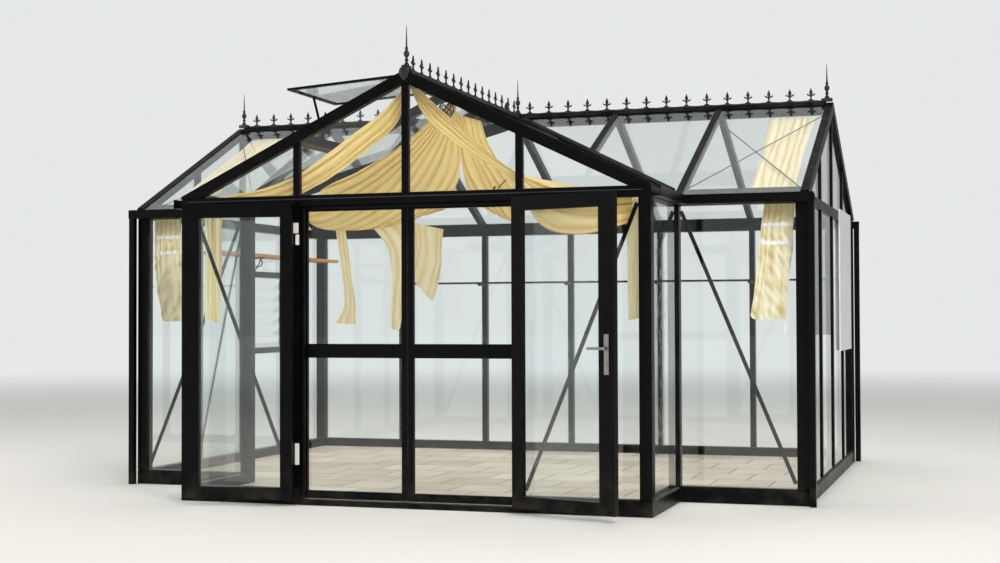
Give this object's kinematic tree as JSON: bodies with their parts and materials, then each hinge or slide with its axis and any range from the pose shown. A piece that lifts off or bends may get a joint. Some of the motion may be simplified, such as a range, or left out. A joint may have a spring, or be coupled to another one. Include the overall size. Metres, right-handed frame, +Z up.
{
  "type": "glass greenhouse",
  "caption": "Glass greenhouse on a T-shaped plan: gabled body, gabled entrance bay with double doors, ridge cresting, finials and cloth swags",
  "frame": {"origin": "middle of the plan, on the ground under the paving", "axes": "+X along the ridge to the right, +Y from the doors to the rear wall, +Z up"},
  "size_m": [4.82, 4.3094, 2.996],
  "materials": {
    "frame_paint": "satin",
    "glass": "polished",
    "cloth": "matte",
    "paving": "matte",
    "shelf_wood": "satin",
    "white_panel": "satin",
    "handle_metal": "satin",
    "crest_plastic": "satin"
  },
  "bodies": {
    "frame": {"bay_eave_beams": "frame_paint", "bay_plinths": "frame_paint", "bay_ridge_beam": "frame_paint", "bay_roof_bars": "frame_paint", "body_eave_beams": "frame_paint", "corner_posts": "frame_paint", "cresting": "crest_plastic", "curtains": "cloth", "door_pivots": "frame_paint", "downpipes": "frame_paint", "end_panel": "white_panel", "end_plinths": "frame_paint", "end_shelf": "shelf_wood", "end_tie_beams": "frame_paint", "finials": "crest_plastic", "front_plinth": "frame_paint", "front_tie_beam": "frame_paint", "gable_mullions": "frame_paint", "gable_panes": "glass", "gutters": "frame_paint", "left_drape": "cloth", "louvre_blades": "glass", "louvre_frame": "frame_paint", "main_roof_bars": "frame_paint", "mullions": "frame_paint", "paved_floor": "paving", "rear_plinth": "frame_paint", "rear_shelf": "frame_paint", "ridge_beam": "frame_paint", "right_drape": "cloth", "roof_braces": "frame_paint", "roof_panes": "glass", "shelf_brackets": "frame_paint", "swags": "cloth", "threshold": "frame_paint", "transoms": "frame_paint", "valleys": "frame_paint", "vent_frames": "frame_paint", "vent_panes": "glass", "vent_stay": "frame_paint", "verge_rafters": "frame_paint", "wall_braces": "frame_paint", "wall_panes": "glass", "wing_plinths": "frame_paint"},
    "left_door": {"left_door_frame": "frame_paint", "left_door_glass": "glass"},
    "right_door": {"right_door_frame": "frame_paint", "right_door_glass": "glass", "door_handle": "handle_metal"},
    "left_inner_door": {"left_inner_door_frame": "frame_paint", "left_inner_door_glass": "glass"},
    "right_inner_door": {"right_inner_door_frame": "frame_paint", "right_inner_door_glass": "glass"}
  },
  "joints": [
    {"name": "right_door_hinge", "type": "hinge", "parent": "frame", "child": "right_door", "pos_m": [0.727, -2.007, 0.95], "axis": [0, 0, -1], "range_deg": [-13, 162]},
    {"name": "left_door_hinge", "type": "hinge", "parent": "frame", "child": "left_door", "pos_m": [-0.727, -2.007, 0.95], "axis": [0, 0, 1], "range_deg": [-2, 173]},
    {"name": "right_inner_door_hinge", "type": "hinge", "parent": "frame", "child": "right_inner_door", "pos_m": [0.694, -1.9, 0.95], "axis": [0, 0, 1], "range_deg": [-92, 0]},
    {"name": "left_inner_door_hinge", "type": "hinge", "parent": "frame", "child": "left_inner_door", "pos_m": [-0.694, -1.9, 0.95], "axis": [0, 0, -1], "range_deg": [-92, 0]}
  ]
}
